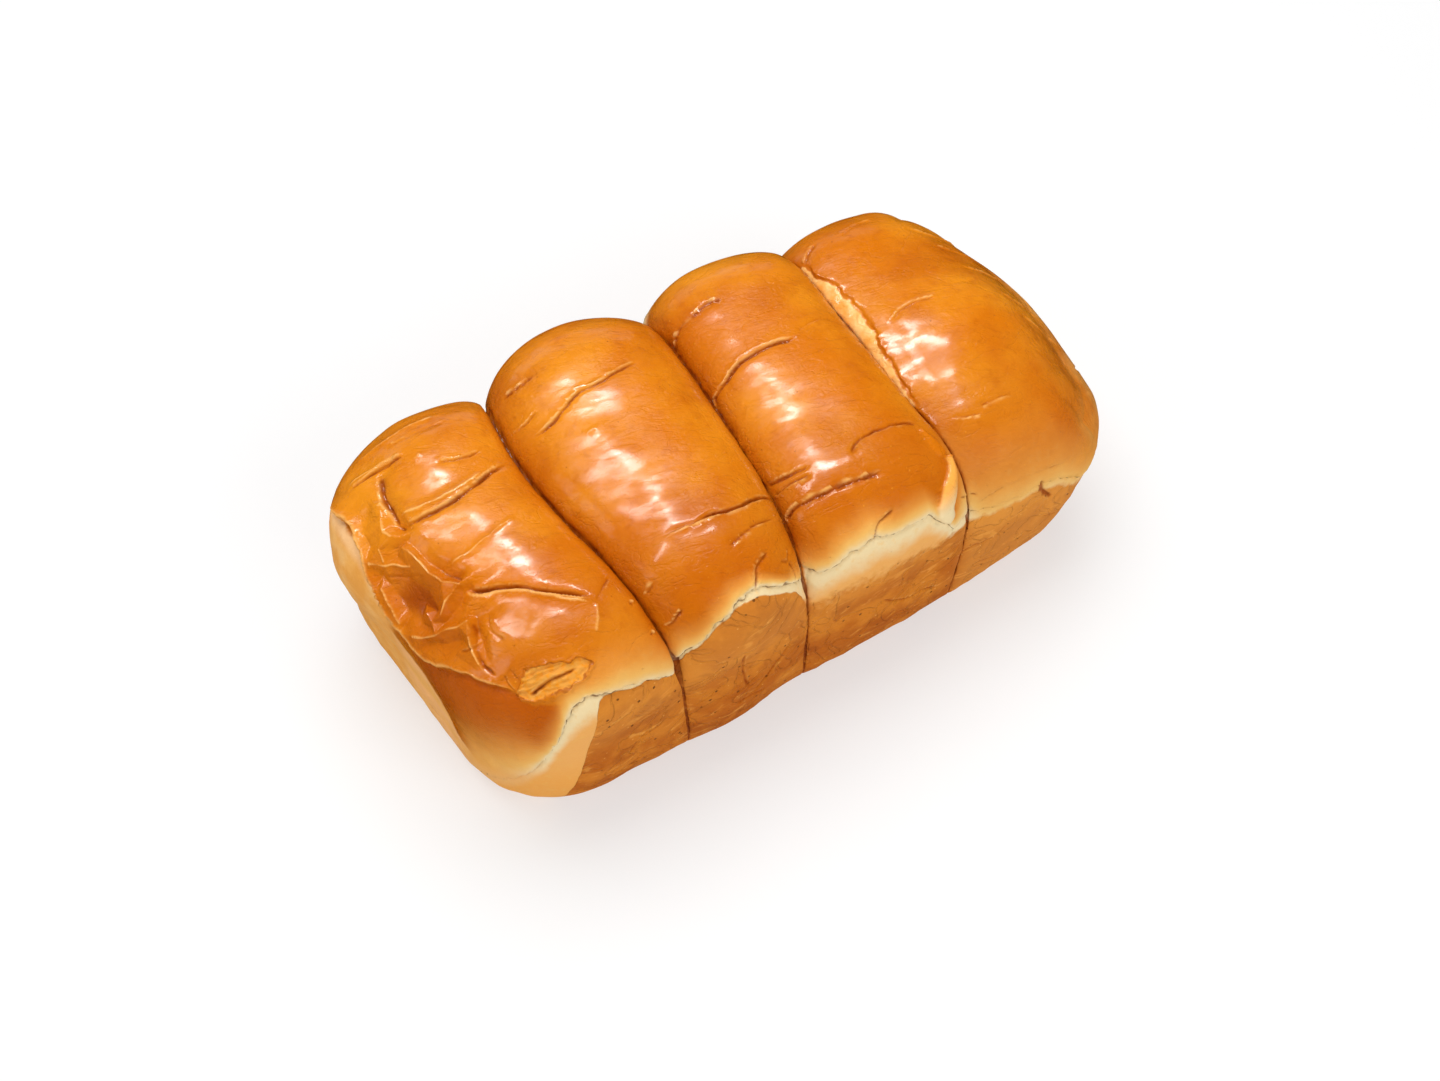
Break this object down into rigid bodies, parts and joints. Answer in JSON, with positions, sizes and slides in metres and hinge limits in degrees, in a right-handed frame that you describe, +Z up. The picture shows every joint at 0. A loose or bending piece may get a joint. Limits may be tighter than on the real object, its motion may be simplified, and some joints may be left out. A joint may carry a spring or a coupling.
{
  "type": "tin loaf",
  "caption": "Soft glossy tin loaf with rounded rolls of dough baked side by side, a pale open shred above straight walls and a flat base.",
  "frame": {"origin": "middle of the loaf's outer box, on the flat base", "axes": "+X along the loaf from the slumped end to the other end, +Y across it away from the side with the open shred, +Z up"},
  "size_m": [0.2554, 0.1296, 0.0928],
  "materials": {
    "crust": "Glossy egg-washed orange-brown crust over soft bread, with a pale cream shred and a duller golden-tan wall where it stood in the tin."
  },
  "bodies": {
    "root": {"loaf": "crust"}
  },
  "joints": []
}
